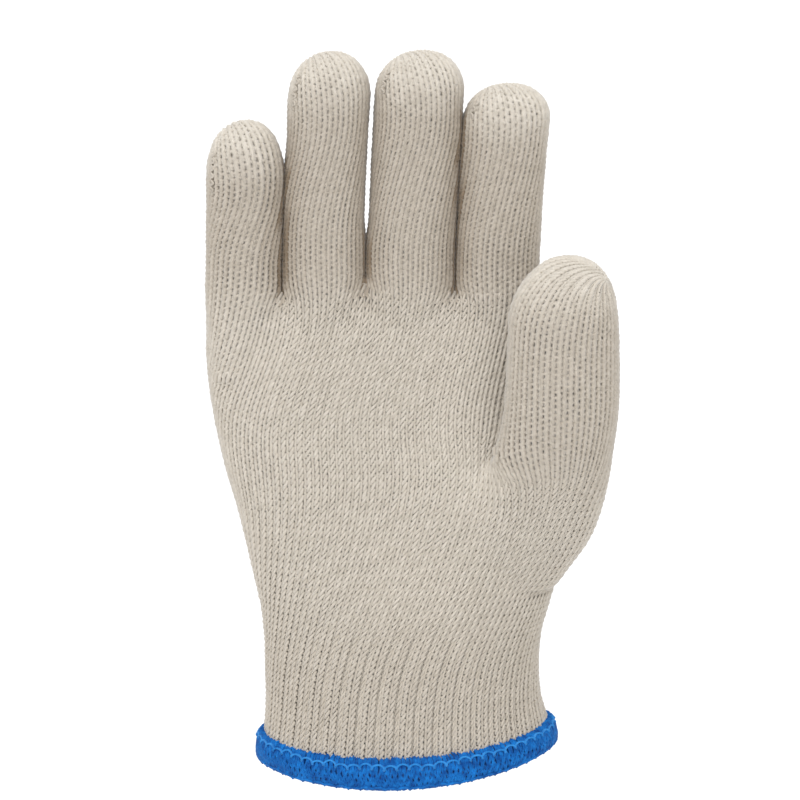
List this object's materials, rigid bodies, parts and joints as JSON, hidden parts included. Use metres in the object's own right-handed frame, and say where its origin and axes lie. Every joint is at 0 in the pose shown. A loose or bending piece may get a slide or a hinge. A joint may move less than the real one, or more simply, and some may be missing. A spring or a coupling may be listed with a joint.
{
  "type": "knitted cotton work glove",
  "caption": "Seamless knitted cotton work glove for the right hand, held in its worn shape: hollow fingers and thumb, plain knitted palm, ribbed cuff and an overlocked blue hem.",
  "frame": {"origin": "centre of the wrist opening, on the level of the hem's lower edge", "axes": "+Z towards the fingertips, -Y out of the palm side, +X towards the thumb's side"},
  "size_m": [0.1321, 0.0735, 0.2359],
  "materials": {
    "natural_knit": "undyed cotton yarn, plain knit, matt and slightly fuzzy",
    "blue_overlock": "blue textured yarn, dense overlock stitching, matt"
  },
  "bodies": {
    "root": {"little_finger": "natural_knit", "ring_finger": "natural_knit", "middle_finger": "natural_knit", "index_finger": "natural_knit", "thumb": "natural_knit", "palm": "natural_knit", "cuff": "natural_knit", "hem": "blue_overlock"}
  },
  "joints": []
}
